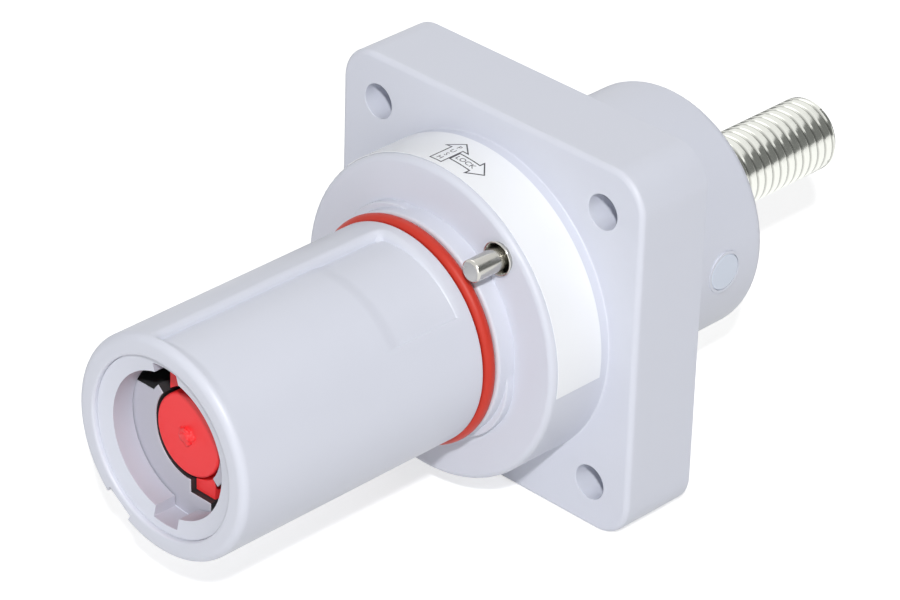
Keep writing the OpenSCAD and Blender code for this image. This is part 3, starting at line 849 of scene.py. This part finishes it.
# %% Cut the thread
PITCH = 1.75
STUD_R, THREAD_DEPTH = 6.0, 0.16
STUD_FROM, STUD_TO = SHOULDER_REAR + 0.8, -cad_box[1][1] / MM
CHAMFER = 1.1
# One ridge along the thread: share of the pitch, and share of the depth that it is sunk there
RIDGE = [(-0.50, 1.0), (-0.45, 0.93), (-0.40, 0.6), (-0.35, 0.2), (-0.31, 0.02), (-0.28, 0.0), (0.0, 0.0),
         (0.28, 0.0), (0.31, 0.02), (0.35, 0.2), (0.40, 0.6), (0.45, 0.93)]


def thread_section():
    """Half section of the ridges as (radius, forward), longer than the stud by a pitch at both ends."""
    count = int((STUD_FROM - STUD_TO) / PITCH) + 3
    return [(STUD_R - sunk * THREAD_DEPTH, STUD_FROM + PITCH * (1.5 - i - share))
            for i in range(count) for share, sunk in RIDGE]


def threaded_stud(steps=72):
    bm = bmesh.new()
    points = [bm.verts.new((r * MM, -z * MM, 0)) for r, z in thread_section()]
    lines = [bm.edges.new(pair) for pair in zip(points, points[1:])]
    bmesh.ops.spin(bm, geom=points + lines, cent=(0, 0, 0), axis=(0, 1, 0), dvec=(0, PITCH * MM / steps, 0),
                   angle=2 * pi, steps=steps)
    bmesh.ops.remove_doubles(bm, verts=bm.verts, dist=0.002 * MM)
    cut_off(bm, STUD_FROM, -1)
    cut_off(bm, STUD_TO, 1)
    sunk = bm.verts.layers.float.new("sunk")
    for vert in bm.verts:
        limit = STUD_R - CHAMFER + (-vert.co.y / MM - STUD_TO)
        radius = off_axis(vert.co) / MM
        # How far each point is sunk; the finish darkens the grooves by it as painted shade.
        vert[sunk] = (STUD_R - radius) / THREAD_DEPTH
        if radius > limit:
            vert.co.x *= limit / radius
            vert.co.z *= limit / radius
    bmesh.ops.recalc_face_normals(bm, faces=bm.faces)
    return bm


stud = settle(threaded_stud(), "terminal_stud", thread_silver)
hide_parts("contact")

# %% [markdown]
# ## The lock pin and its bush
#
# A plated pin stands out of the collar beside the sleeve and sinks when the other half is turned home. Its
# bush is an eyelet: a thin tube whose front lip is flared and rolled, so a dark gap shows around the pin. Both
# are spun from half sections around the pin's own axis.

# %% Turn the pin
(pin_left, pin_right), (pin_tip, pin_end), (pin_low, pin_high) = reach("lock_pin")
PIN_X, PIN_Z = (pin_left + pin_right) / 2, (pin_low + pin_high) / 2
HEAD_R, HEAD_T, SHANK_R = (pin_right - pin_left) / 2, 1.6, 1.75
PIN_SECTION = [(0, -pin_end), (HEAD_R, -pin_end), (HEAD_R, -pin_end + HEAD_T), (SHANK_R, -pin_end + HEAD_T),
               (SHANK_R, -pin_tip - 0.3), (SHANK_R - 0.3, -pin_tip), (0, -pin_tip)]
bm = turned(PIN_SECTION, (PIN_X, PIN_Z), steps=48)
soften(bm, 0.14, segments=3, least=30)
settle(bm, "lock_pin_turned", bright_nickel, body="pin", node="lock_pin")

# %% Turn the bush
(bush_left, bush_right), (bush_front, bush_back), _ = reach("lock_bush")
LIP, LIP_R = -bush_front, (bush_right - bush_left) / 2
TUBE_R, BORE_R = 2.3, 1.82
BUSH_SECTION = [(BORE_R, -bush_back), (TUBE_R, -bush_back), (TUBE_R, LIP - 1.2), (TUBE_R + 0.04, LIP - 0.7),
                (LIP_R - 0.1, LIP - 0.3), (LIP_R, LIP - 0.14), (LIP_R - 0.05, LIP - 0.03), (LIP_R - 0.13, LIP),
                (LIP_R - 0.22, LIP - 0.05), (LIP_R - 0.35, LIP - 0.3), (LIP_R - 0.6, LIP - 0.85),
                (BORE_R, LIP - 1.7), (BORE_R, -bush_back)]
bm = turned(BUSH_SECTION, (PIN_X, PIN_Z), steps=64)
settle(bm, "lock_bush_eyelet", bright_nickel, node="lock_bush", crease=50)

# %% [markdown]
# ## The lock spring
#
# A compression spring behind the pin's head pushes it out. It is hidden in its hole. A round wire section is
# spun along a helix, and the piece gets a mesh of its own.

# %% Coil the spring
(spring_left, spring_right), (spring_front, spring_back), _ = reach("lock_spring")
TURNS, WIRE_R = 7, 0.25


def coil_spring(steps_per_turn=24):
    bm = bmesh.new()
    coil_r = (spring_right - spring_left) / 2 - WIRE_R
    place = Matrix.Translation(((PIN_X + coil_r) * MM, (spring_back - WIRE_R) * MM, PIN_Z * MM))
    wire = bmesh.ops.create_circle(bm, cap_ends=True, segments=10, radius=WIRE_R * MM, matrix=place)
    steps = TURNS * steps_per_turn
    rise = (spring_back - spring_front - 2 * WIRE_R) / steps
    bmesh.ops.spin(bm, geom=wire["verts"] + bm.edges[:] + bm.faces[:], cent=(PIN_X * MM, 0, PIN_Z * MM),
                   axis=(0, -1, 0), dvec=(0, -rise * MM, 0), angle=TURNS * 2 * pi, steps=steps)
    bmesh.ops.recalc_face_normals(bm, faces=bm.faces)
    return bm


spring = settle(coil_spring(), "lock_spring_coil", spring_wire, node="lock_spring", crease=60)
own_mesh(spring)

# %% [markdown]
# ## Seal ring and side plug
#
# The orange-red ring seals the two mated halves. It is a round section spun about the axis. The plug in the
# hub's side closes the hole of the grub screw, with a thin bright edge around it.

# %% Make the seal
seal_x, seal_y, _ = reach("front_seal")
SEAL_WIRE_R = (seal_y[1] - seal_y[0]) / 2
SEAL_RING_R = (seal_x[1] - seal_x[0]) / 2 - SEAL_WIRE_R

bm = bmesh.new()
section = bmesh.ops.create_circle(bm, segments=28, radius=SEAL_WIRE_R * MM,
                                  matrix=Matrix.Translation((SEAL_RING_R * MM, sum(seal_y) / 2 * MM, 0)))
bmesh.ops.spin(bm, geom=section["verts"] + bm.edges[:], cent=(0, 0, 0), axis=(0, 1, 0), angle=2 * pi, steps=144,
               use_merge=True)
bmesh.ops.recalc_face_normals(bm, faces=bm.faces)
settle(bm, "front_seal_ring", seal_rubber, node="front_seal")

# %% Soften the plug
bm = cad_copy("hub_plug")
print("Plug edges softened:", soften(bm, 0.2, segments=3))
settle(bm, "hub_plug_disc", plug_plastic, node="hub_plug")

# %% [markdown]
# ## The label
#
# A white film lies on the collar, with two outline arrows that show how the halves join: push, then turn to
# lock. The film is a thin strip spun through part of a turn. The print is drawn flat first, in mm along the
# collar and across it, as plain faces with a small thickness, and is then wrapped around the collar.

# %% Lay the film
_, (label_front, label_back), (_, LABEL_TOP) = reach("label_strip")
LABEL_T = 0.12
LABEL_FROM, LABEL_SPAN = radians(-6.5), radians(142)


def film_strip(steps=110):
    bm = bmesh.new()
    corners = [(LABEL_TOP - LABEL_T, label_back), (LABEL_TOP, label_back), (LABEL_TOP, label_front),
               (LABEL_TOP - LABEL_T, label_front)]
    end = bm.faces.new([bm.verts.new((r * MM, y * MM, 0)) for r, y in corners])
    bmesh.ops.rotate(bm, verts=bm.verts, cent=(0, 0, 0), matrix=Matrix.Rotation(-LABEL_FROM, 3, "Y"))
    bmesh.ops.spin(bm, geom=end.verts[:] + end.edges[:] + [end], cent=(0, 0, 0), axis=(0, -1, 0), angle=LABEL_SPAN,
                   steps=steps)
    bmesh.ops.recalc_face_normals(bm, faces=bm.faces)
    return bm


bm = film_strip()
soften(bm, 0.03, segments=1)
settle(bm, "label_film_strip", label_film, node="label_strip")

# %% Print the arrows
INK_T, LINE_W, BEND_STEP = 0.012, 0.2, 0.45
# Corners of the arrows in mm: along the collar, to the right of its top, and along Y
PUSH_ARROW = [(-2.27, -23.3), (0.13, -23.3), (0.13, -18.9), (1.35, -18.9), (-1.07, -16.75), (-3.49, -18.9),
              (-2.27, -18.9)]
LOCK_ARROW = [(0.13, -21.75), (4.1, -21.75), (4.1, -22.85), (6.3, -20.6), (4.1, -18.35), (4.1, -19.45),
              (0.13, -19.45)]


def wrap_on_label(bm):
    """Bends a flat print, in mm along and across the collar, onto the film's outer face."""
    for vert in bm.verts:
        along, across, lift = vert.co
        angle = pi / 2 - along / LABEL_TOP
        vert.co = Vector(((LABEL_TOP + lift) * cos(angle), across, (LABEL_TOP + lift) * sin(angle))) * MM


def outline(points):
    """A closed line of even width inside a row of corner points, cut into short lengths so that it can bend."""
    bm = bmesh.new()
    face = bm.faces.new([bm.verts.new((u, w, 0)) for u, w in points])
    bmesh.ops.recalc_face_normals(bm, faces=bm.faces)
    bmesh.ops.inset_region(bm, faces=[face], thickness=LINE_W, use_even_offset=True, use_boundary=True)
    bmesh.ops.delete(bm, geom=[face], context="FACES_ONLY")
    for step in range(-8, 16):
        bmesh.ops.bisect_plane(bm, geom=bm.verts[:] + bm.edges[:] + bm.faces[:], dist=1e-5,
                               plane_co=(step * BEND_STEP, 0, 0), plane_no=(1, 0, 0))
    raised = bmesh.ops.extrude_face_region(bm, geom=bm.faces[:])
    top = [v for v in raised["geom"] if isinstance(v, bmesh.types.BMVert)]
    bmesh.ops.translate(bm, vec=(0, 0, INK_T), verts=top)
    return bm


def words(text, size, centre, line_gap=1.0):
    """Letters as a thin flat mesh, centred at a place on the label."""
    curve = bpy.data.curves.new("letters", "FONT")
    curve.body, curve.size, curve.extrude = text, size, INK_T / 2
    curve.align_x, curve.align_y, curve.space_line = "CENTER", "CENTER", line_gap
    curve.resolution_u = 3
    letters = bpy.data.objects.new("letters", curve)
    scene.collection.objects.link(letters)
    mesh = bpy.data.meshes.new_from_object(letters.evaluated_get(bpy.context.evaluated_depsgraph_get()))
    bm = bmesh.new()
    bm.from_mesh(mesh)
    bmesh.ops.remove_doubles(bm, verts=bm.verts, dist=1e-4)
    bmesh.ops.translate(bm, vec=(*centre, INK_T / 2), verts=bm.verts)
    bpy.data.objects.remove(letters)
    bpy.data.curves.remove(curve)
    bpy.data.meshes.remove(mesh)
    return bm


PRINT = {"push_arrow": outline(PUSH_ARROW), "lock_arrow": outline(LOCK_ARROW),
         "push_word": words("P\nU\nS\nH", 1.25, (-1.07, -20.35), 1.05),
         "lock_word": words("LOCK", 1.35, (2.35, -20.6))}
for name, bm in PRINT.items():
    wrap_on_label(bm)
    bmesh.ops.recalc_face_normals(bm, faces=bm.faces)
    settle(bm, "print_" + name, print_ink, crease=30)

# %% [markdown]
# ## Pieces inside
#
# The contact band, the inner seal and the grub screw stay as the CAD made them. They are hidden in the
# assembly, but each still gets its own finish.

# %% Finish the inner pieces
for node, finish in (("contact_band", spring_bronze), ("contact_seal", dark_rubber_and_painted_shade), ("grub_screw", dark_steel)):
    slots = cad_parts[node].data.materials
    slots.clear()
    slots.append(finish)
    print(node, "gets", finish.name)
